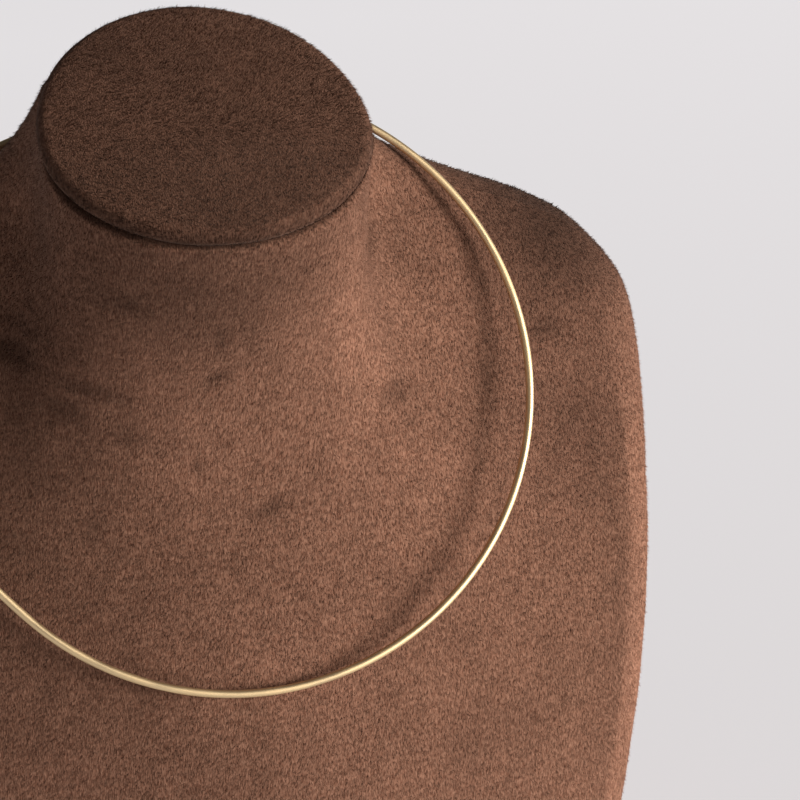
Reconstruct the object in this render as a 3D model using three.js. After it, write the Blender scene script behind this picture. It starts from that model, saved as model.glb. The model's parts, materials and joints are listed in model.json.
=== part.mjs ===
// Rigid wire collar necklace resting on a plush covered neck bust.
// Millimetres, +Z up, the bust's front towards -Y, its base on Z = 0.
import * as THREE from "three";
import { mergeVertices } from "three/addons/utils/BufferGeometryUtils.js";

// ---- driving dimensions -------------------------------------------------

const GAP = 0.3; // clearance between touching pieces

// The collar: one loop of round wire, nearly a circle, leaning back on the bust.
const COLLAR = {
  wireRadius: 1.0,
  acrossRadius: 72.6, // to the wire's centre, side to side
  alongRadius: 71.6, // to the wire's centre, from the chest up to the nape
  leanDeg: 55, // the loop's plane above the horizontal
  centre: new THREE.Vector3(6.3, 3.4, 168),
  reliefDepth: 13, // how far the loop springs wide over the right shoulder
  reliefMiddleDeg: 153,
  reliefNapeSpanDeg: 50, // how far round towards the nape, and towards the chest
  reliefChestSpanDeg: 67,
  dipDepth: 6.5, // how far it dips back behind that shoulder
  dipMiddleDeg: 114,
  dipSpanDeg: 48,
  claspDeg: 104, // where its two ends meet, behind the neck
  steps: 112,
  sides: 12,
};

// The clasp: a barrel with a blind socket at each end for the wire.
const CLASP = { radius: 1.9, length: 13, socketDepth: 4, edge: 0.5, segments: 28 };

// The neck cap: a padded disc, deeper to the back than to the front, that leans forward.
const CAP = {
  centre: new THREE.Vector3(0, 2.5, 236.8), // middle of its upper face
  halfWidth: 37.7,
  front: 34.4,
  back: 42.2,
  leanDeg: 18,
  thickness: 5,
  rimRound: 2.4,
  crown: 1.2,
  segments: 52,
};

// The neck: an oval column under the cap, a little narrower than it.
// Its front falls back towards the chest.
const NECK = { halfWidth: 37, front: 33.6, back: 37, frontFall: 0.3, fillet: 22, topInset: 1.1 };

// The torso, section by section from the base up: half width, how far the middle of the
// chest stands forward, the back, and how much the edge between chest and side is rounded.
const TORSO = [
  { z: 0, halfWidth: 101, front: -54.7, back: 54, edgeRound: 2 },
  { z: 40, halfWidth: 106.6, front: -53.3, back: 54, edgeRound: 2 },
  { z: 78, halfWidth: 113.6, front: -45.6, back: 54, edgeRound: 2 },
  { z: 104, halfWidth: 116.5, front: -38, back: 54, edgeRound: 2 },
  { z: 121, halfWidth: 118, front: -30.5, back: 54, edgeRound: 3 },
  { z: 141, halfWidth: 118.5, front: -20, back: 54, edgeRound: 8 },
  { z: 166, halfWidth: 116.3, front: -7, back: 54, edgeRound: 14 },
  { z: 177, halfWidth: 109.8, front: -1, back: 54, edgeRound: 16 },
  { z: 185.5, halfWidth: 101.8, front: 4, back: 54, edgeRound: 16 },
  { z: 191.5, halfWidth: 92.8, front: 7.8, back: 53, edgeRound: 16 },
  { z: 197, halfWidth: 82.2, front: 11, back: 51.5, edgeRound: 16 },
  { z: 202, halfWidth: 72.5, front: 14, back: 49.5, edgeRound: 16 },
  { z: 207, halfWidth: 63.4, front: 16, back: 47, edgeRound: 16 },
  { z: 213, halfWidth: 53.4, front: 17, back: 44, edgeRound: 14 },
  { z: 221, halfWidth: 43.6, front: 17, back: 39, edgeRound: 12 },
  { z: 231, halfWidth: 33, front: 17, back: 34, edgeRound: 10 },
];
const CHEST_SLOPE = 0.42; // how far the chest falls back near its sides, per mm across
const CHEST_CROWN = 40; // half width of its rounded middle
const EDGE_BEVEL = 7.3; // flat band between the chest and the side
const BEVEL_ROUND = 1.2;
const BACK_ROUND = 14;

// Rows of the bust's mesh from the base up, and points round each row.
const ROWS = [
  { from: 0, to: 120, count: 9 },
  { from: 120, to: 180, count: 11 },
  { from: 180, to: 222, count: 18 },
  { from: 222, to: 230.2, count: 4 },
];
const NECK_TOP = 231.35;
const ROUND = { chest: 18, bevel: 2, side: 3, corner: 4, back: 4 };
const NECK_ROUND = { chestDeg: 100, cornerDeg: 145 }; // where the same points lie round the neck
const SLANT_FROM = 165; // above this height the rows begin to lean like the cap

// ---- small helpers --------------------------------------------------------

const rad = THREE.MathUtils.degToRad;
const lerp = THREE.MathUtils.lerp;

// Smooth interpolation of one named column of a table sorted by z.
function column(rows, name, z) {
  const last = rows.length - 1;
  let i = 0;
  while (i < last - 1 && rows[i + 1].z < z) i += 1;
  const slope = (j) => {
    const a = rows[Math.max(j - 1, 0)];
    const b = rows[Math.min(j + 1, last)];
    return (b[name] - a[name]) / (b.z - a.z);
  };
  const span = rows[i + 1].z - rows[i].z;
  const t = (z - rows[i].z) / span;
  if (t > 1) return rows[last][name] + (z - rows[last].z) * slope(last);
  const cubic = 2 * t ** 3 - 3 * t ** 2 + 1;
  return (
    cubic * rows[i][name] +
    (t ** 3 - 2 * t ** 2 + t) * span * slope(i) +
    (1 - cubic) * rows[i + 1][name] +
    (t ** 3 - t ** 2) * span * slope(i + 1)
  );
}

// Joins two surface distances with a fillet of about the given radius.
function softMin(a, b, radius) {
  const h = Math.max(radius - Math.abs(a - b), 0) / radius;
  return Math.min(a, b) - (h * h * radius) / 4;
}

function softMax(a, b, radius) {
  return -softMin(-a, -b, radius);
}

function materialOf(color, roughness, metalness) {
  return new THREE.MeshStandardMaterial({ color, roughness, metalness });
}

const gold = () => materialOf(0xc9a869, 0.32, 1);
const plush = () => materialOf(0x7a5747, 0.95, 0);

// A closed skin through rings of points; the first ring is the lowest, counter-clockwise.
function skin(rings) {
  const round = rings[0].length;
  const points = rings.flat();
  const middle = (ring) =>
    ring.reduce((sum, p) => sum.add(p), new THREE.Vector3()).divideScalar(ring.length);
  points.push(middle(rings[0]), middle(rings.at(-1)));
  const index = [];
  for (let j = 0; j < rings.length - 1; j += 1) {
    for (let i = 0; i < round; i += 1) {
      const a = j * round + i;
      const b = j * round + ((i + 1) % round);
      index.push(a, b, b + round, a, b + round, a + round);
    }
  }
  const top = (rings.length - 1) * round;
  for (let i = 0; i < round; i += 1) {
    const next = (i + 1) % round;
    index.push(next, i, points.length - 2);
    index.push(top + i, top + next, points.length - 1);
  }
  const geometry = new THREE.BufferGeometry().setFromPoints(points);
  geometry.setIndex(index);
  return geometry;
}

// ---- the neck bust ----------------------------------------------------------

function torsoAt(z) {
  const at = (name) => column(TORSO, name, z);
  const step = 0.5;
  const rate = (name) => (column(TORSO, name, z + step) - column(TORSO, name, z - step)) / (2 * step);
  return {
    halfWidth: at("halfWidth"),
    front: at("front"),
    back: at("back"),
    edgeRound: at("edgeRound"),
    widthRate: rate("halfWidth"),
    frontRate: rate("front"),
  };
}

// How far the chest falls back at a distance from its middle.
function chestFall(x) {
  return CHEST_SLOPE * (Math.hypot(x, CHEST_CROWN) - CHEST_CROWN);
}

// Distance outside the torso (negative inside).
function torsoDistance(x, y, t) {
  const side = (Math.abs(x) - t.halfWidth) / Math.hypot(1, t.widthRate);
  const turn = (CHEST_SLOPE * x) / Math.hypot(x, CHEST_CROWN);
  const chest = (t.front + chestFall(x) - y) / Math.hypot(1, t.frontRate, turn);
  const edge = t.front + chestFall(t.halfWidth);
  const bevel = (Math.abs(x) - t.halfWidth + edge - y + EDGE_BEVEL) * Math.SQRT1_2;
  const face = softMax(softMax(chest, side, t.edgeRound), bevel, BEVEL_ROUND);
  return softMax(face, y - t.back, BACK_ROUND);
}

// Distance outside the neck column, whose front falls back towards its foot.
function neckDistance(x, y, z) {
  const forward = y - CAP.centre.y;
  const drop = Math.max(NECK_TOP - z, 0);
  const depth = forward < 0 ? Math.max(NECK.front - NECK.frontFall * drop, 8) : NECK.back;
  const reach = Math.max(Math.hypot(x / NECK.halfWidth, forward / depth), 1e-6);
  const steepness = Math.hypot(x / NECK.halfWidth ** 2, forward / depth ** 2) / reach;
  return (reach - 1) / steepness;
}

// The rows lean with the cap at the top of the neck and lie level below the shoulders.
function rowHeight(level, y) {
  const t = THREE.MathUtils.smoothstep(level, SLANT_FROM, NECK_TOP);
  return level + t * Math.tan(rad(CAP.leanDeg)) * (y - CAP.centre.y);
}

function bustDistance(x, y, level) {
  const z = rowHeight(level, y);
  const torso = torsoDistance(x, y, torsoAt(z));
  return softMin(neckDistance(x, y, z), torso, NECK.fillet);
}

// The right half of one torso section, from the middle of the chest to the middle of the
// back.
function torsoAims(t) {
  const chestEnd = t.halfWidth - EDGE_BEVEL;
  const edge = t.front + chestFall(t.halfWidth);
  const aims = [];
  for (let i = 0; i <= ROUND.chest; i += 1) {
    const share = i / ROUND.chest;
    const x = chestEnd * (0.6 * share + 0.4 * share ** 3); // closer together near the neck
    aims.push([x, t.front + chestFall(x)]);
  }
  for (let i = 1; i <= ROUND.bevel; i += 1) {
    const s = (i / ROUND.bevel) * EDGE_BEVEL;
    aims.push([chestEnd + s, edge - EDGE_BEVEL * CHEST_SLOPE + s]);
  }
  const corner = t.back - BACK_ROUND;
  for (let i = 1; i <= ROUND.side; i += 1) {
    aims.push([t.halfWidth, lerp(edge + EDGE_BEVEL, corner, i / ROUND.side)]);
  }
  for (let i = 1; i <= ROUND.corner; i += 1) {
    const a = rad((90 * i) / ROUND.corner);
    const x = t.halfWidth - BACK_ROUND * (1 - Math.cos(a));
    aims.push([x, corner + BACK_ROUND * Math.sin(a)]);
  }
  for (let i = 1; i <= ROUND.back; i += 1) {
    aims.push([(t.halfWidth - BACK_ROUND) * (1 - i / ROUND.back), t.back]);
  }
  return aims;
}

// The same points round the neck, turned from its front to its back.
function neckAims() {
  const { chest, bevel, side, corner, back } = ROUND;
  const cornerEnd = chest + bevel + side + corner;
  const aims = [];
  for (let i = 0; i <= cornerEnd + back; i += 1) {
    let turn = (NECK_ROUND.chestDeg * i) / chest;
    if (i > chest) {
      const share = (i - chest) / (cornerEnd - chest);
      turn = lerp(NECK_ROUND.chestDeg, NECK_ROUND.cornerDeg, share);
    }
    if (i > cornerEnd) turn = lerp(NECK_ROUND.cornerDeg, 180, (i - cornerEnd) / back);
    const x = NECK.halfWidth * Math.sin(rad(turn));
    aims.push([x, CAP.centre.y - NECK.front * Math.cos(rad(turn))]);
  }
  return aims;
}

function halfAims(level) {
  const t = torsoAt(Math.min(level, 205));
  const neck = neckAims();
  const share = THREE.MathUtils.smoothstep(level, 185, 222);
  const mix = ([x, y], i) => [lerp(x, neck[i][0], share), lerp(y, neck[i][1], share)];
  const middle = lerp((t.front + t.back) / 2, CAP.centre.y, share);
  return { aims: torsoAims(t).map(mix), middle };
}

// Walks from the middle of a row towards each aim until it meets the bust's surface.
function bustRing(level, inset = 0) {
  const { aims, middle } = halfAims(level);
  const left = aims.slice(1, -1).map(([x, y]) => [-x, y]);
  return [...aims, ...left.reverse()].map(([aimX, aimY]) => {
    const reach = Math.hypot(aimX, aimY - middle);
    const dirX = aimX / reach;
    const dirY = (aimY - middle) / reach;
    let inside = 0;
    let outside = 160;
    for (let n = 0; n < 40; n += 1) {
      const r = (inside + outside) / 2;
      if (bustDistance(dirX * r, middle + dirY * r, level) < 0) inside = r;
      else outside = r;
    }
    const y = middle + dirY * (inside - inset);
    return new THREE.Vector3(dirX * (inside - inset), y, rowHeight(level, y));
  });
}

function bustBody() {
  const rings = [bustRing(ROWS[0].from)];
  for (const { from, to, count } of ROWS) {
    for (let i = 1; i <= count; i += 1) rings.push(bustRing(lerp(from, to, i / count)));
  }
  rings.push(bustRing(NECK_TOP, NECK.topInset));
  return new THREE.Mesh(skin(rings), plush());
}

// ---- the neck cap -----------------------------------------------------------

// The cap's outline at a height under its upper face, with the rim rounded top and bottom.
function capRing(inset, height) {
  const ring = [];
  for (let i = 0; i < CAP.segments; i += 1) {
    const a = (i / CAP.segments) * 2 * Math.PI;
    const depth = Math.sin(a) < 0 ? CAP.front : CAP.back;
    ring.push(
      new THREE.Vector3(
        Math.cos(a) * (CAP.halfWidth - inset),
        Math.sin(a) * (depth - inset),
        height,
      ),
    );
  }
  return ring;
}

function neckCap() {
  const rings = [];
  const steps = 4;
  for (let i = 0; i <= steps; i += 1) {
    const a = rad(90 * (i / steps));
    const r = CAP.rimRound;
    rings.push(capRing(r * (1 - Math.sin(a)), -CAP.thickness + r * (1 - Math.cos(a))));
  }
  for (let i = 0; i <= steps; i += 1) {
    const a = rad(90 * (i / steps));
    const r = CAP.rimRound;
    rings.push(capRing(r * (1 - Math.cos(a)), -r + r * Math.sin(a)));
  }
  for (const across of [0.75, 0.5, 0.25]) {
    const inset = CAP.rimRound + (CAP.front - CAP.rimRound) * (1 - across);
    rings.push(capRing(inset, CAP.crown * (1 - across ** 2)));
  }
  const mesh = new THREE.Mesh(skin(rings), plush());
  mesh.position.copy(CAP.centre);
  mesh.rotation.x = rad(CAP.leanDeg);
  return mesh;
}

// ---- the collar ---------------------------------------------------------------

// A smooth rise from 0 to 1 and back over a stretch of the loop.
function bump(angleDeg, middleDeg, spanBefore, spanAfter) {
  const turn = THREE.MathUtils.euclideanModulo(angleDeg - middleDeg + 180, 360) - 180;
  const share = turn / (turn < 0 ? spanBefore : spanAfter);
  return Math.max(1 - share ** 2, 0) ** 2;
}

// A point on the wire's centre line; 0 degrees is the wearer's left, 90 the nape.
function collarPoint(angleDeg) {
  const a = rad(angleDeg);
  const { reliefDepth, reliefMiddleDeg, reliefNapeSpanDeg, reliefChestSpanDeg } = COLLAR;
  const { dipDepth, dipMiddleDeg, dipSpanDeg } = COLLAR;
  const wide = bump(angleDeg, reliefMiddleDeg, reliefNapeSpanDeg, reliefChestSpanDeg);
  const relief = reliefDepth * wide;
  const dip = dipDepth * bump(angleDeg, dipMiddleDeg, dipSpanDeg, dipSpanDeg);
  const along = (COLLAR.alongRadius + relief) * Math.sin(a);
  const lean = rad(COLLAR.leanDeg);
  return new THREE.Vector3(
    (COLLAR.acrossRadius + relief) * Math.cos(a),
    along * Math.cos(lean) + dip * Math.sin(lean),
    along * Math.sin(lean) - dip * Math.cos(lean),
  ).add(COLLAR.centre);
}

// Angle that a length along the wire takes up.
function collarDegrees(length) {
  return THREE.MathUtils.radToDeg(length / COLLAR.acrossRadius);
}

function collarWire() {
  const start = COLLAR.claspDeg + collarDegrees(CLASP.length / 2 - CLASP.socketDepth + GAP);
  const end = COLLAR.claspDeg + 360 - collarDegrees(CLASP.length / 2 - CLASP.socketDepth + GAP);
  const points = [];
  const knots = 72;
  for (let i = 0; i <= knots; i += 1) points.push(collarPoint(lerp(start, end, i / knots)));
  const section = new THREE.Shape();
  for (let i = 0; i < COLLAR.sides; i += 1) {
    const a = (i / COLLAR.sides) * 2 * Math.PI;
    const x = COLLAR.wireRadius * Math.cos(a);
    const y = COLLAR.wireRadius * Math.sin(a);
    if (i === 0) section.moveTo(x, y);
    else section.lineTo(x, y);
  }
  section.closePath();
  const path = new THREE.CatmullRomCurve3(points);
  const geometry = new THREE.ExtrudeGeometry(section, {
    steps: COLLAR.steps,
    extrudePath: path,
    curveSegments: 1,
  });
  return new THREE.Mesh(geometry, gold());
}

function claspBarrel() {
  const half = CLASP.length / 2;
  const bore = COLLAR.wireRadius + GAP;
  const floor = half - CLASP.socketDepth;
  const upper = [
    [CLASP.radius, half - CLASP.edge],
    [CLASP.radius - CLASP.edge, half],
    [bore, half],
    [bore, floor],
    [0, floor],
  ];
  const lower = upper.map(([r, z]) => [r, -z]).reverse();
  const profile = [...lower, ...upper].map(([r, z]) => new THREE.Vector2(r, z));
  const mesh = new THREE.Mesh(new THREE.LatheGeometry(profile, CLASP.segments), gold());
  const ahead = collarPoint(COLLAR.claspDeg + 1);
  const behind = collarPoint(COLLAR.claspDeg - 1);
  mesh.position.copy(collarPoint(COLLAR.claspDeg));
  mesh.quaternion.setFromUnitVectors(
    new THREE.Vector3(0, 1, 0),
    ahead.sub(behind).normalize(),
  );
  return mesh;
}

// ---- assembly -----------------------------------------------------------------

const necklaceOnBust = new THREE.Group();
const parts = {
  bust_body: bustBody(),
  neck_cap: neckCap(),
  collar_wire: collarWire(),
  clasp_barrel: claspBarrel(),
};
for (const [name, mesh] of Object.entries(parts)) {
  mesh.name = name;
  if (mesh.geometry.index) mesh.geometry = mergeVertices(mesh.geometry);
  necklaceOnBust.add(mesh);
}

export default necklaceOnBust;
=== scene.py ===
"""Wire collar necklace on a plush covered neck bust: covers, pile, metal and stage."""

import json
import math

import bpy
import numpy as np
from mathutils import Matrix, Vector

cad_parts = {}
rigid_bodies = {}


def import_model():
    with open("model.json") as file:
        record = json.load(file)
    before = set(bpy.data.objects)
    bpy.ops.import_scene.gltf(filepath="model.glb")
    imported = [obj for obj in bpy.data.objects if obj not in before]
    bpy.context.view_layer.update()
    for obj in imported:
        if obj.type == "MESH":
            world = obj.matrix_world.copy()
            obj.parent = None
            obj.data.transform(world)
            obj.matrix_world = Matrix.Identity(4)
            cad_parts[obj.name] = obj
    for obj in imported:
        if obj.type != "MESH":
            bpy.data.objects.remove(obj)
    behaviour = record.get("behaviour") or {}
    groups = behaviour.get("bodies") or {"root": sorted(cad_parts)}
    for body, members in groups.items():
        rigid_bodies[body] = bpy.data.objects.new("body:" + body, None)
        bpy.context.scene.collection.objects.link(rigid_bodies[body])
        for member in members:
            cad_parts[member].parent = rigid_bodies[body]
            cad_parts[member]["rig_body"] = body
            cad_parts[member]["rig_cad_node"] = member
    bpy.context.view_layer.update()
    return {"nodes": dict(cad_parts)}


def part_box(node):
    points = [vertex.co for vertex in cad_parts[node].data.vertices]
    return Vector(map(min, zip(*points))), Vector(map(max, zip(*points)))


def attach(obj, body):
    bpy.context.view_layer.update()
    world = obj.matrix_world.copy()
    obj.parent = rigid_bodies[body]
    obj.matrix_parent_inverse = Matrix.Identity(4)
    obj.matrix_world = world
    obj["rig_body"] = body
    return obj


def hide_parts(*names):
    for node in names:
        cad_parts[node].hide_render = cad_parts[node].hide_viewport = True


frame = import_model()
ROOT = "root"

bl_info = {
    "name": "Collar necklace on a neck bust",
    "version": (1, 0, 0),
    "blender": (4, 5, 0),
    "location": "3D View > Sidebar > Necklace",
    "description": "Plush neck bust with a rigid wire collar, and its studio stage",
    "category": "Object",
}


# ---- sizes and colours -------------------------------------------------------


class PlushSettings(bpy.types.PropertyGroup):
    colour: bpy.props.FloatVectorProperty(
        name="Plush colour",
        description="Colour of the pile seen along its lay",
        subtype="COLOR",
        size=3,
        min=0,
        max=1,
        default=(0.255, 0.132, 0.086),
    )
    shade: bpy.props.FloatVectorProperty(
        name="Plush shade",
        description="Colour between the fibres",
        subtype="COLOR",
        size=3,
        min=0,
        max=1,
        default=(0.112, 0.046, 0.027),
    )
    fibre_length: bpy.props.FloatProperty(
        name="Fibre length",
        description="Length of one tuft of the pile",
        default=0.00125,
        min=0.0003,
        max=0.005,
        unit="LENGTH",
    )
    fibre_width: bpy.props.FloatProperty(
        name="Fibre width",
        description="Width of one tuft at its root",
        default=0.00025,
        min=0.0001,
        max=0.001,
        unit="LENGTH",
    )
    tufts_per_piece: bpy.props.IntProperty(
        name="Tufts",
        description="Tufts in each part of the bust's pile",
        default=190000,
        min=1000,
        max=195000,
    )
    cap_tufts: bpy.props.IntProperty(
        name="Cap tufts",
        description="Tufts on the neck cap",
        default=48000,
        min=1000,
        max=100000,
    )


class CollarSettings(bpy.types.PropertyGroup):
    colour: bpy.props.FloatVectorProperty(
        name="Gold colour",
        description="Colour of the satin gold plating",
        subtype="COLOR",
        size=3,
        min=0,
        max=1,
        default=(0.78, 0.59, 0.34),
    )
    roughness: bpy.props.FloatProperty(
        name="Satin",
        description="Roughness of the drawn wire",
        default=0.5,
        min=0.02,
        max=1,
        subtype="FACTOR",
    )


class StageSettings(bpy.types.PropertyGroup):
    floor_colour: bpy.props.FloatVectorProperty(
        name="Floor colour",
        description="Colour of the pale floor",
        subtype="COLOR",
        size=3,
        min=0,
        max=1,
        default=(0.290, 0.280, 0.283),
    )
    floor_glow: bpy.props.FloatProperty(
        name="Floor glow",
        description="Light given back by the lit floor",
        default=2.25,
        min=0,
        max=5,
    )
    key_power: bpy.props.FloatProperty(
        name="Key light",
        description="Power of the large light at the side",
        default=84.0,
        min=0,
        unit="POWER",
    )
    azimuth: bpy.props.FloatProperty(
        name="Camera azimuth",
        description="Turn of the camera to the wearer's right",
        default=math.radians(16),
        subtype="ANGLE",
    )
    elevation: bpy.props.FloatProperty(
        name="Camera elevation",
        description="Height of the camera above level",
        default=math.radians(30),
        subtype="ANGLE",
    )
    roll: bpy.props.FloatProperty(
        name="Camera roll",
        description="Tilt of the camera about its own line of sight",
        default=math.radians(2),
        subtype="ANGLE",
    )
    distance: bpy.props.FloatProperty(
        name="Camera distance",
        description="From the camera to the point it aims at",
        default=0.7,
        min=0.1,
        unit="LENGTH",
    )
    lens: bpy.props.FloatProperty(
        name="Lens",
        description="Focal length in millimetres on a 36 mm wide sensor",
        default=133.9,
        min=20,
    )


# Brushed marks where the pile lies another way: place, reach across and up, tilt, strength.
BRUSH_MARKS = (
    # x, y, z (mm), across, up (mm), tilt (degrees), strength
    (-45, 6, 183, 4.5, 3.5, 0, 0.85),
    (-44, 8, 189, 5, 2.5, 0, 0.5),
    (-30, -9, 179, 9, 2.2, -12, 0.7),
    (-36, -7, 173, 5, 3, 0, 0.6),
    (-2, -17, 183, 3.5, 1.6, 22, 0.8),
    (-2, -20, 194, 1.8, 4, 0, 0.4),
    (10, -18, 147, 5, 1.8, 18, 0.75),
    (-22, -13, 168, 4, 3.5, 0, 0.5),
    (-31, -15, 145, 2, 2.5, 0, 0.45),
    (-24, -16, 204, 7, 3, 0, 0.45),
    (-7, -16, 159, 1.6, 2.2, 0, 0.5),
    (88, 18, 168, 5, 2.5, 0, 0.65),
    (41, 12, 199, 2.6, 4, 8, 0.6),
    (44, -3, 166, 4.5, 3, 0, 0.7),
    (70, 7, 161, 2.5, 7, 0, 0.35),
    (-60, 10, 150, 8, 4, 10, 0.5),
    (-78, 20, 172, 6, 4, -8, 0.5),
)

# Broad areas of painted shade (level below 1) and painted light (above 1) on the plush: place, reach
# (mm) and level.
PAINTED_SHADING_AREAS = (
    # x, y, z, reach x, reach y, reach z, level
    (-6, -23, 210, 29, 30, 25, 0.55),
    (92, 28, 184, 22, 40, 18, 0.42),
    (98, 10, 150, 20, 40, 26, 0.76),
    (-46, -10, 148, 26, 30, 40, 0.7),
    (103, -8, 110, 10, 40, 46, 0.82),
    (42, -10, 150, 18, 30, 30, 1.16),
    (31, -8, 190, 5, 14, 20, 1.16),
    (45, 24, 206, 6, 12, 10, 1.14),
)


# Grains per metre of the uneven rows that show in the bust's pile and in the cap's.
BUST_ROWS = (110, 110, 1250)
CAP_ROWS = (260, 900, 900)

# Edges stay firm from the first turn (degrees) on, and fully at the second.
BUST_EDGE_TURNS = (12, 22)
BARREL_EDGE_TURNS = (25, 40)
BUST_EDGES_UP_TO = 0.15  # metres above the table: the neck and shoulders stay soft

# How deep the covers give where their pile is brushed (metres), the painted light on the bust's side
# panels, and the painted shade on the cap.
BUST_BRUSH_DEPTH, CAP_BRUSH_DEPTH = 0.0006, 0.0005
SIDE_PANEL_PAINTED_LIGHT, CAP_PAINTED_SHADE = 1.5, 0.78

# The pile of the bust comes in parts, so that no piece grows too large.
PILE_PARTS = 3
BUST_PILE_SEED, CAP_PILE_SEED = 40, 51
PILE_STARTS_AT = 0.0015  # metres above the table
ROOT_DEPTH = 0.00008  # metres that a tuft's root sits in the cover

# One tuft: how far it swings and twists (radians), how many stand, and how steeply (degrees).
TUFT_SWING, TUFT_TWIST = 0.09, 0.18
STANDING_SHARE = 0.15
STANDING_RISE, LYING_RISE = (40, 75), (12, 32)
# Its length and half width as shares of the settings; a standing tuft is shorter.
LENGTH_SHARES, WIDTH_SHARES, STANDING_LENGTH = (0.6, 1.15), (0.7, 1.2), 0.8

WIRE_LOOP_RADIUS = 0.072  # metres, for the length along the wire
SKIN_LEVELS = 2  # of subdivision on every smoothed skin

# The stage: where the camera aims, and where the light stands round its own aim (metres, degrees).
CAMERA_AIM = (0.044, -0.0081, 0.1668)
KEY_AIM = (0, 0, 0.16)
KEY_AZIMUTH, KEY_ELEVATION, KEY_DISTANCE, KEY_SIZE = 52, 15, 2.2, 1.25
KEY_COLOUR = (1, 0.96, 0.92)
SENSOR_WIDTH = 36  # millimetres
FLOOR_SIZE, FLOOR_DROP = 16, 0.0002  # metres

# Sockets of a colour Mix node.
MIX_FACTOR, MIX_FIRST, MIX_SECOND, MIX_RESULT = 0, 6, 7, 2


# ---- helpers -------------------------------------------------------------------


def deselect():
    bpy.ops.object.select_all(action="DESELECT")


def activate(obj):
    deselect()
    obj.select_set(True)
    bpy.context.view_layer.objects.active = obj


def vertex_array(mesh):
    points = np.empty(len(mesh.vertices) * 3)
    mesh.vertices.foreach_get("co", points)
    return points.reshape(-1, 3)


def normal_array(mesh):
    normals = np.empty(len(mesh.vertices) * 3)
    mesh.vertices.foreach_get("normal", normals)
    return normals.reshape(-1, 3)


def copy_of_node(node, name):
    """A CAD node's shape as a new object, its loose triangles joined into a skin of quads."""
    piece = frame["nodes"][node].copy()
    piece.data = frame["nodes"][node].data.copy()
    piece.parent = None
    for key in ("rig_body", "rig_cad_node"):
        if key in piece:
            del piece[key]
    piece.name = name
    piece.data.name = name
    piece.data.materials.clear()
    bpy.context.scene.collection.objects.link(piece)
    activate(piece)
    bpy.ops.object.mode_set(mode="EDIT")
    bpy.ops.mesh.select_all(action="SELECT")
    bpy.ops.mesh.remove_doubles(threshold=0.00001)
    bpy.ops.mesh.tris_convert_to_quads(face_threshold=math.radians(60))
    bpy.ops.mesh.normals_make_consistent(inside=False)
    bpy.ops.object.mode_set(mode="OBJECT")
    return piece


def firm_edges(piece, turns, firmness, highest=math.inf):
    """Keeps the sharp edges of a skin firm, up to a height, when it is smoothed."""
    low, high = turns
    mesh = piece.data
    layer = mesh.attributes.new("crease_edge", "FLOAT", "EDGE")
    faces_of = {}
    for face in mesh.polygons:
        for key in face.edge_keys:
            faces_of.setdefault(key, []).append(face.index)
    for edge in mesh.edges:
        pair = faces_of.get(edge.key, [])
        if len(pair) != 2 or mesh.vertices[edge.vertices[0]].co.z > highest:
            continue
        turn = math.degrees(mesh.polygons[pair[0]].normal.angle(mesh.polygons[pair[1]].normal, 0))
        share = min(max((turn - low) / (high - low), 0), 1)
        layer.data[edge.index].value = firmness * share


def smooth_skin(piece):
    activate(piece)
    subdivision = piece.modifiers.new("Smooth skin", "SUBSURF")
    subdivision.levels = SKIN_LEVELS
    subdivision.render_levels = SKIN_LEVELS
    bpy.ops.object.modifier_apply(modifier=subdivision.name)
    bpy.ops.object.shade_smooth()


def finish_piece(piece, replaced):
    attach(piece, ROOT)
    if replaced:
        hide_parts(replaced)


def smoothstep(values, low, high):
    t = np.clip((values - low) / (high - low), 0, 1)
    return t * t * (3 - 2 * t)


def brush_depth(points):
    """How far the pile is brushed aside at points in metres, 0 to 1."""
    depth = np.zeros(len(points))
    for x, y, z, across, up, tilt, strength in BRUSH_MARKS:
        dx, dy, dz = (points * 1000 - (x, y, z)).T
        c, s = math.cos(math.radians(tilt)), math.sin(math.radians(tilt))
        reach = ((dx * c + dz * s) / across) ** 2 + ((dz * c - dx * s) / up) ** 2 + (dy / 12) ** 2
        depth = np.maximum(depth, strength * np.exp(-(reach**1.5)))
    return depth


def painted_shading_level(points):
    """Painted light and shade of the broad areas at points in metres: 1 is the plain colour."""
    level = np.ones(len(points))
    for x, y, z, reach_x, reach_y, reach_z, share in PAINTED_SHADING_AREAS:
        away = (points * 1000 - (x, y, z)) / (reach_x, reach_y, reach_z)
        level *= 1 + (share - 1) * np.exp(-(away**2).sum(1))
    return level


def set_attribute(mesh, name, values):
    layer = mesh.attributes.new(name, "FLOAT", "POINT")
    layer.data.foreach_set("value", np.asarray(values, np.float32))


# ---- materials -------------------------------------------------------------------


def new_material(name):
    material = bpy.data.materials.new(name)
    material.use_nodes = True
    nodes = material.node_tree.nodes
    nodes.clear()
    output = nodes.new("ShaderNodeOutputMaterial")
    shader = nodes.new("ShaderNodeBsdfPrincipled")
    material.node_tree.links.new(shader.outputs[0], output.inputs[0])
    return material, nodes, material.node_tree.links, shader


def stretched_noise(nodes, links, source, scale, detail=2.0):
    """Noise whose grains are drawn out along an axis; scale is grains per metre."""
    mapping = nodes.new("ShaderNodeMapping")
    mapping.inputs["Scale"].default_value = scale
    noise = nodes.new("ShaderNodeTexNoise")
    noise.inputs["Scale"].default_value = 1.0
    noise.inputs["Detail"].default_value = detail
    links.new(source, mapping.inputs["Vector"])
    links.new(mapping.outputs[0], noise.inputs["Vector"])
    return noise.outputs["Fac"]


def mixed(nodes, links, kind, factor, first, second):
    node = nodes.new("ShaderNodeMix")
    node.data_type = "RGBA"
    node.blend_type = kind
    for number, value in ((MIX_FACTOR, factor), (MIX_FIRST, first), (MIX_SECOND, second)):
        socket = node.inputs[number]
        if isinstance(value, bpy.types.NodeSocket):
            links.new(value, socket)
        elif isinstance(value, (tuple, list)):
            socket.default_value = (*value, 1) if len(value) == 3 else value
        else:
            socket.default_value = value
    return node.outputs[MIX_RESULT]


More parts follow.
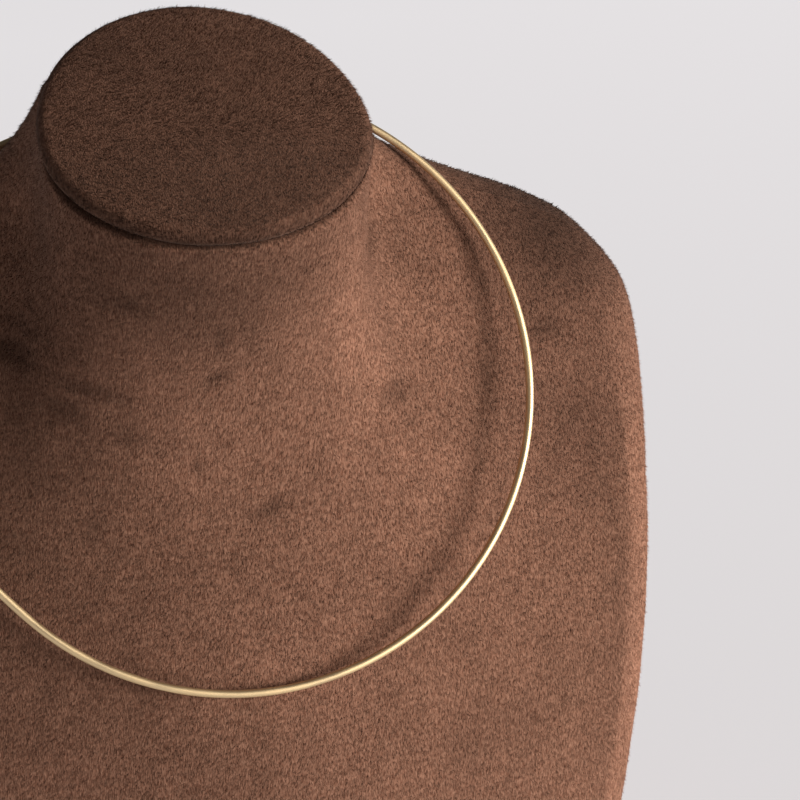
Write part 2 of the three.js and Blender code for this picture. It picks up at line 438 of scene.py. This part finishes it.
def spread(nodes, links, source, low, high, to_low, to_high):
    node = nodes.new("ShaderNodeMapRange")
    node.inputs["From Min"].default_value = low
    node.inputs["From Max"].default_value = high
    node.inputs["To Min"].default_value = to_low
    node.inputs["To Max"].default_value = to_high
    links.new(source, node.inputs["Value"])
    return node.outputs[0]


def attribute(nodes, name, output="Fac"):
    node = nodes.new("ShaderNodeAttribute")
    node.attribute_name = name
    return node.outputs[output]


def plush_material(name, settings, tuft=False, row_grain=BUST_ROWS):
    """Short-pile plush: streaks along the lay, cloudy tone, brushed marks, painted light and shade, and
    a soft sheen.
    """
    material, nodes, links, shader = new_material(name)
    place = nodes.new("ShaderNodeTexCoord").outputs["Object"]
    cloud = stretched_noise(nodes, links, place, (38, 38, 30), 3)
    patch = stretched_noise(nodes, links, place, (150, 150, 110), 2)
    streak = stretched_noise(nodes, links, place, (3600, 1500, 800), 2)
    grain = stretched_noise(nodes, links, place, (1500, 1500, 1100), 2)
    rows = stretched_noise(nodes, links, place, row_grain, 1)
    tone = spread(nodes, links, streak, 0.3, 0.7, 0.0, 1.0)
    colour = mixed(nodes, links, "MIX", tone, tuple(settings.shade), tuple(settings.colour))
    shades = [
        (cloud, 0.3, 0.7, 0.86, 1.12),
        (patch, 0.3, 0.7, 0.93, 1.06),
        (grain, 0.3, 0.7, 0.94, 1.05),
        (rows, 0.35, 0.65, 0.94, 1.06),
        (attribute(nodes, "brushed"), 0.0, 1.0, 1.0, 0.5),
        # Painted light and shade: the broad areas, lit side panels, shaded tops and the dark cap.
        (attribute(nodes, "painted_shading"), 0.0, 2.0, 0.0, 2.0),
    ]
    if tuft:
        # Random tone of the tufts, with painted shade at their roots.
        shades.append((attribute(nodes, "tuft_tone_and_root_shade"), 0.0, 1.0, 0.5, 1.36))
    for source, low, high, dark, light in shades:
        level = spread(nodes, links, source, low, high, dark, light)
        colour = mixed(nodes, links, "MULTIPLY", 1.0, colour, level)
    links.new(colour, shader.inputs["Base Color"])
    shader.inputs["Roughness"].default_value = 0.95
    shader.inputs["Specular IOR Level"].default_value = 0.08
    shader.inputs["Sheen Weight"].default_value = 0.06
    shader.inputs["Sheen Roughness"].default_value = 0.45
    shader.inputs["Sheen Tint"].default_value = (1.0, 0.82, 0.7, 1)
    if not tuft:
        bump = nodes.new("ShaderNodeBump")
        bump.inputs["Strength"].default_value = 0.8
        bump.inputs["Distance"].default_value = 0.0003
        links.new(streak, bump.inputs["Height"])
        links.new(bump.outputs[0], shader.inputs["Normal"])
    return material


def gold_material(settings):
    """Satin gold wire with fine lines left by drawing, and slight wear along its length."""
    material, nodes, links, shader = new_material("Satin gold")
    along = attribute(nodes, "drawn", "Vector")
    lines = stretched_noise(nodes, links, along, (60, 5200, 5200), 2)
    wear = stretched_noise(nodes, links, along, (90, 300, 300), 3)
    dark = tuple(0.86 * c for c in settings.colour)
    tone = spread(nodes, links, lines, 0.3, 0.7, 0, 1)
    colour = mixed(nodes, links, "MIX", tone, dark, tuple(settings.colour))
    links.new(colour, shader.inputs["Base Color"])
    shader.inputs["Metallic"].default_value = 1.0
    roughness = settings.roughness
    rough = spread(nodes, links, wear, 0.3, 0.7, roughness * 0.85, roughness * 1.2)
    links.new(rough, shader.inputs["Roughness"])
    shader.inputs["Coat Weight"].default_value = 0.15
    shader.inputs["Coat Roughness"].default_value = 0.3
    bump = nodes.new("ShaderNodeBump")
    bump.inputs["Strength"].default_value = 0.35
    bump.inputs["Distance"].default_value = 0.00003
    links.new(lines, bump.inputs["Height"])
    links.new(bump.outputs[0], shader.inputs["Normal"])
    return material


# ---- the bust ---------------------------------------------------------------------


def painted_panel_shading(points, normals, lightness):
    """Painted light and shade on the bust: painted light on the narrow side panels, painted shade where
    it faces up.
    """
    sideways = smoothstep(np.abs(normals[:, 0]), 0.5, 0.62)
    panel = 1 + (lightness - 1) * sideways * (1 - smoothstep(points[:, 2], 0.135, 0.17))
    return panel * (1 - 0.3 * smoothstep(normals[:, 2], 0.45, 0.9))


def painted_cap_shade(points, normals, darkness):
    """Painted shade on the cap: dark all over, and darker still round its rim."""
    return darkness * (0.72 + 0.28 * smoothstep(normals[:, 2], 0.35, 0.8))


def settle_cover(piece, depth, panel, level):
    """Presses the cover in a little where its pile is brushed, and lets it lie uneven."""
    mesh = piece.data
    points = vertex_array(mesh)
    normals = normal_array(mesh)
    brushed = brush_depth(points)
    wave = np.sin(points[:, 0] * 190 + 1.3) * np.sin(points[:, 2] * 160 + points[:, 0] * 60)
    wave += 0.6 * np.sin(points[:, 0] * 330 + points[:, 2] * 270 + 2.1)
    moved = points + normals * (depth * 0.12 * wave - depth * brushed)[:, None]
    moved[:, 2] = np.where(points[:, 2] < 0.002, points[:, 2], moved[:, 2])
    mesh.vertices.foreach_set("co", moved.ravel())
    mesh.update()
    set_attribute(mesh, "brushed", brushed)
    # Painted light and shade, kept for the material.
    set_attribute(mesh, "painted_shading", painted_shading_level(points) * panel(points, normals, level))


class NECKLACE_OT_bust_cover(bpy.types.Operator):
    """Makes the plush cover of the neck and shoulders"""

    bl_idname = "necklace.bust_cover"
    bl_label = "Bust cover"

    def execute(self, context):
        piece = copy_of_node("bust_body", "bust_cover")
        firm_edges(piece, BUST_EDGE_TURNS, 0.9, BUST_EDGES_UP_TO)
        smooth_skin(piece)
        # Presses in the brushed marks, and stores the painted light and shade of the bust.
        settle_cover(piece, BUST_BRUSH_DEPTH, painted_panel_shading, SIDE_PANEL_PAINTED_LIGHT)
        piece.data.materials.append(plush_material("Bust plush", context.scene.plush))
        finish_piece(piece, "bust_body")
        return {"FINISHED"}


class NECKLACE_OT_cap_cover(bpy.types.Operator):
    """Makes the padded disc that closes the neck"""

    bl_idname = "necklace.cap_cover"
    bl_label = "Neck cap cover"

    def execute(self, context):
        piece = copy_of_node("neck_cap", "neck_cap_cover")
        smooth_skin(piece)
        # Presses in the brushed marks, and stores the painted shade of the cap.
        settle_cover(piece, CAP_BRUSH_DEPTH, painted_cap_shade, CAP_PAINTED_SHADE)
        piece.data.materials.append(plush_material("Cap plush", context.scene.plush, row_grain=CAP_ROWS))
        finish_piece(piece, "neck_cap")
        return {"FINISHED"}


# ---- the pile -----------------------------------------------------------------------


def corner_arrays(mesh):
    """Corner points, normals, brushing and painted light and shade of every triangle of a skin."""
    mesh.calc_loop_triangles()
    corners = np.empty(len(mesh.loop_triangles) * 3, np.int64)
    mesh.loop_triangles.foreach_get("vertices", corners)
    corners = corners.reshape(-1, 3)
    values = []
    for name in ("brushed", "painted_shading"):
        value = np.empty(len(mesh.vertices), np.float32)
        mesh.attributes[name].data.foreach_get("value", value)
        values.append(value[corners])
    return vertex_array(mesh)[corners], normal_array(mesh)[corners], *values


def lay_of_pile(points, normals, across_cap):
    """The way the pile is combed: down the bust; across the back of the cap, then forward."""
    down = np.tile((0.0, 0.0, -1.0), (len(points), 1))
    if across_cap:
        back = smoothstep(points[:, 1], -0.014, 0.008)[:, None]
        down = back * (1.0, 0.25, 0.0) + (1 - back) * (0.15, -1.0, -0.4)
    along = down - normals * (down * normals).sum(1)[:, None]
    size = np.linalg.norm(along, axis=1)
    flat = size < 0.15
    along[flat] = np.cross(normals[flat], [1.0, 0.0, 0.0])
    return along / np.linalg.norm(along, axis=1)[:, None]


def swirls(points, brushed, across_cap):
    """How the lay of the pile turns from place to place (radians): where brushed, and all over."""
    ruffle = 0.7 * brushed * np.sin(points[:, 0] * 420 + points[:, 2] * 300)
    drift = (0.5 if across_cap else 0.12) * np.sin(points[:, 0] * 95 + 0.7)
    return ruffle, drift * np.sin(points[:, 2] * 80 + points[:, 1] * 50)


def blade_mesh(name, blades):
    """A mesh of separate triangles, one for each blade."""
    count = len(blades)
    mesh = bpy.data.meshes.new(name)
    mesh.vertices.add(count * 3)
    mesh.vertices.foreach_set("co", blades.astype(np.float32).ravel())
    mesh.loops.add(count * 3)
    mesh.loops.foreach_set("vertex_index", np.arange(count * 3, dtype=np.int32))
    mesh.polygons.add(count)
    mesh.polygons.foreach_set("loop_start", np.arange(0, count * 3, 3, dtype=np.int32))
    mesh.update(calc_edges=True)
    return mesh


def make_pile(name, source, count, seed, settings, material, across_cap=False):
    """Sows tufts over a skin: each is one thin blade that leans along the lay of the pile."""
    rng = np.random.default_rng(seed)
    corners, corner_normals, corner_brushed, corner_painted_shading = corner_arrays(source.data)
    area = np.linalg.norm(np.cross(corners[:, 1] - corners[:, 0], corners[:, 2] - corners[:, 0]), axis=1)
    keep = corners[:, :, 2].min(1) > PILE_STARTS_AT
    chosen = rng.choice(len(area), count, p=area * keep / (area * keep).sum())
    share = rng.random((count, 2))
    over = share.sum(1) > 1
    share[over] = 1 - share[over]
    weights = np.c_[1 - share.sum(1), share][:, :, None]
    root = (corners[chosen] * weights).sum(1)
    normal = (corner_normals[chosen] * weights).sum(1)
    normal /= np.linalg.norm(normal, axis=1)[:, None]
    brushed = (corner_brushed[chosen] * weights[:, :, 0]).sum(1)
    # The cover's painted light and shade, carried to each tuft.
    painted_shading = (corner_painted_shading[chosen] * weights[:, :, 0]).sum(1)
    along = lay_of_pile(root, normal, across_cap)
    side = np.cross(normal, along)
    ruffle, drift = swirls(root, brushed, across_cap)
    swing = rng.normal(0, TUFT_SWING, count) + ruffle + drift
    combed = along * np.cos(swing)[:, None] + side * np.sin(swing)[:, None]
    across = side * np.cos(swing)[:, None] - along * np.sin(swing)[:, None]
    standing = rng.random(count) < STANDING_SHARE
    steep = rng.uniform(*STANDING_RISE, count)
    rise = np.radians(np.where(standing, steep, rng.uniform(*LYING_RISE, count)))
    length = settings.fibre_length * rng.uniform(*LENGTH_SHARES, count)
    length *= np.where(standing, STANDING_LENGTH, 1)
    half = 0.5 * settings.fibre_width * rng.uniform(*WIDTH_SHARES, count)
    twist = rng.normal(0, TUFT_TWIST, count)
    across = across * np.cos(twist)[:, None] + normal * np.sin(twist)[:, None]
    root = root - normal * ROOT_DEPTH
    tip = root + combed * (length * np.cos(rise))[:, None] + normal * (length * np.sin(rise))[:, None]
    blades = np.stack([root - across * half[:, None], root + across * half[:, None], tip], axis=1)
    mesh = blade_mesh(name, blades)
    # Each tuft's tone at random, with painted shade at its root: the root corners darker than the tip.
    tone = rng.random(count)
    set_attribute(mesh, "tuft_tone_and_root_shade", np.c_[0.3 * tone, 0.3 * tone, 0.5 + 0.5 * tone].ravel())
    set_attribute(mesh, "brushed", np.repeat(brushed, 3))
    set_attribute(mesh, "painted_shading", np.repeat(painted_shading, 3))
    mesh.materials.append(material)
    pile = bpy.data.objects.new(name, mesh)
    bpy.context.scene.collection.objects.link(pile)
    finish_piece(pile, None)


class NECKLACE_OT_bust_pile(bpy.types.Operator):
    """Sows the pile over the neck and shoulders, in three parts"""

    bl_idname = "necklace.bust_pile"
    bl_label = "Bust pile"

    def execute(self, context):
        settings = context.scene.plush
        material = plush_material("Bust pile", settings, tuft=True)
        for number in range(1, PILE_PARTS + 1):
            make_pile(
                f"bust_pile_{number}",
                bpy.data.objects["bust_cover"],
                settings.tufts_per_piece,
                BUST_PILE_SEED + number,
                settings,
                material,
            )
        return {"FINISHED"}


class NECKLACE_OT_cap_pile(bpy.types.Operator):
    """Sows the pile over the neck cap"""

    bl_idname = "necklace.cap_pile"
    bl_label = "Neck cap pile"

    def execute(self, context):
        settings = context.scene.plush
        material = plush_material("Cap pile", settings, tuft=True, row_grain=CAP_ROWS)
        make_pile(
            "neck_cap_pile",
            bpy.data.objects["neck_cap_cover"],
            settings.cap_tufts,
            CAP_PILE_SEED,
            settings,
            material,
            across_cap=True,
        )
        return {"FINISHED"}


# ---- the collar ----------------------------------------------------------------------


def drawn_coordinates(piece, centre, radius):
    """Stores the drawing direction: length along the wire, and the place round it."""
    points = vertex_array(piece.data)
    normals = normal_array(piece.data)
    turn = np.arctan2(points[:, 2] - centre[2], points[:, 0] - centre[0])
    layer = piece.data.attributes.new("drawn", "FLOAT_VECTOR", "POINT")
    outwards = (normals * (points - centre)).sum(1) / radius
    place = np.c_[turn * radius, normals[:, 1] * 0.001, outwards * 0.001]
    layer.data.foreach_set("vector", place.astype(np.float32).ravel())


class NECKLACE_OT_collar(bpy.types.Operator):
    """Makes the round wire and the barrel that joins its ends"""

    bl_idname = "necklace.collar"
    bl_label = "Wire collar"

    def execute(self, context):
        gold = gold_material(context.scene.collar)
        low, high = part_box("collar_wire")
        centre = np.array((low + high) / 2)
        pieces = {"collar_wire": "collar_wire_drawn", "clasp_barrel": "clasp_barrel_turned"}
        for node, name in pieces.items():
            piece = copy_of_node(node, name)
            if node == "clasp_barrel":
                firm_edges(piece, BARREL_EDGE_TURNS, 0.8)
            smooth_skin(piece)
            drawn_coordinates(piece, centre, WIRE_LOOP_RADIUS)
            piece.data.materials.append(gold)
            finish_piece(piece, node)
        return {"FINISHED"}


# ---- the stage -------------------------------------------------------------------------


def key_light(power):
    """One large soft light at the wearer's left and a little above."""
    a, e = math.radians(KEY_AZIMUTH), math.radians(KEY_ELEVATION)
    towards = Vector((math.sin(a) * math.cos(e), -math.cos(a) * math.cos(e), math.sin(e)))
    bpy.ops.object.light_add(type="AREA", location=Vector(KEY_AIM) + towards * KEY_DISTANCE)
    light = bpy.context.object
    light.name = "Key"
    light.rotation_euler = towards.to_track_quat("Z", "Y").to_euler()
    light.data.shape = "RECTANGLE"
    light.data.size = KEY_SIZE
    light.data.size_y = KEY_SIZE
    light.data.energy = power
    light.data.color = KEY_COLOUR


def pale_floor(settings):
    bpy.ops.mesh.primitive_plane_add(size=FLOOR_SIZE, location=(0, 0, -FLOOR_DROP))
    floor = bpy.context.object
    floor.name = "floor"
    material, nodes, links, shader = new_material("Pale floor")
    place = nodes.new("ShaderNodeTexCoord").outputs["Object"]
    cloud = stretched_noise(nodes, links, place, (1.5, 1.5, 1.5), 1)
    warm = tuple(settings.floor_colour)
    cool = tuple(c * s for c, s in zip(warm, (0.97, 0.985, 1.0)))
    colour = mixed(nodes, links, "MIX", cloud, warm, cool)
    links.new(colour, shader.inputs["Base Color"])
    # Painted light: the floor's glow dims by a fifth towards the front.
    depth = nodes.new("ShaderNodeSeparateXYZ")
    links.new(place, depth.inputs[0])
    fade = spread(nodes, links, depth.outputs["Y"], 0.0, 0.6, 0.8, 1.0)
    links.new(mixed(nodes, links, "MULTIPLY", 1.0, colour, fade), shader.inputs["Emission Color"])
    shader.inputs["Emission Strength"].default_value = settings.floor_glow
    shader.inputs["Roughness"].default_value = 0.9
    shader.inputs["Specular IOR Level"].default_value = 0.2
    floor.data.materials.append(material)


def studio_world():
    world = bpy.data.worlds.new("Studio")
    bpy.context.scene.world = world
    world.use_nodes = True
    nodes, links = world.node_tree.nodes, world.node_tree.links
    background = nodes["Background"]
    direction = nodes.new("ShaderNodeTexCoord").outputs["Generated"]
    split = nodes.new("ShaderNodeSeparateXYZ")
    links.new(direction, split.inputs[0])
    level = spread(nodes, links, split.outputs["Z"], 0.0, 0.5, 0.5, 0.06)
    links.new(level, background.inputs["Strength"])
    background.inputs["Color"].default_value = (0.98, 0.97, 1.0, 1)


class NECKLACE_OT_stage(bpy.types.Operator):
    """Sets up the pale floor, the soft studio light and the camera"""

    bl_idname = "necklace.stage"
    bl_label = "Studio stage"

    def execute(self, context):
        settings = context.scene.stage
        context.scene.view_settings.view_transform = "Standard"
        deselect()
        pale_floor(settings)
        studio_world()
        key_light(settings.key_power)
        bpy.ops.object.camera_add()
        camera = bpy.context.object
        turn = Matrix.Rotation(-settings.azimuth, 4, "Z")
        tip = Matrix.Rotation(math.radians(90) - settings.elevation, 4, "X")
        roll = Matrix.Rotation(settings.roll, 4, "Z")
        back = Matrix.Translation((0, 0, settings.distance))
        camera.matrix_world = Matrix.Translation(CAMERA_AIM) @ (turn @ tip @ roll) @ back
        camera.data.sensor_width = SENSOR_WIDTH
        camera.data.lens = settings.lens
        camera.data.clip_start = 0.01
        camera.data.clip_end = 50
        context.scene.camera = camera
        return {"FINISHED"}


class NECKLACE_PT_panel(bpy.types.Panel):
    """Lists the pieces of the necklace and its bust"""

    bl_idname = "NECKLACE_PT_panel"
    bl_label = "Collar necklace"
    bl_space_type = "VIEW_3D"
    bl_region_type = "UI"
    bl_category = "Necklace"

    def draw(self, context):
        for operator in OPERATORS:
            self.layout.operator(operator.bl_idname)
        for group in ("plush", "collar", "stage"):
            settings = getattr(context.scene, group)
            for name in settings.__annotations__:
                self.layout.prop(settings, name)


OPERATORS = (
    NECKLACE_OT_bust_cover,
    NECKLACE_OT_cap_cover,
    NECKLACE_OT_bust_pile,
    NECKLACE_OT_cap_pile,
    NECKLACE_OT_collar,
    NECKLACE_OT_stage,
)
SETTINGS = {"plush": PlushSettings, "collar": CollarSettings, "stage": StageSettings}


def register():
    for name, group in SETTINGS.items():
        bpy.utils.register_class(group)
        setattr(bpy.types.Scene, name, bpy.props.PointerProperty(type=group))
    for item in (*OPERATORS, NECKLACE_PT_panel):
        bpy.utils.register_class(item)


def unregister():
    for item in (*OPERATORS, NECKLACE_PT_panel):
        bpy.utils.unregister_class(item)
    for name, group in SETTINGS.items():
        delattr(bpy.types.Scene, name)
        bpy.utils.unregister_class(group)


def main():
    register()
    for step in ("bust_cover", "cap_cover", "bust_pile", "cap_pile", "collar", "stage"):
        getattr(bpy.ops.necklace, step)()


if __name__ == "__main__":
    main()
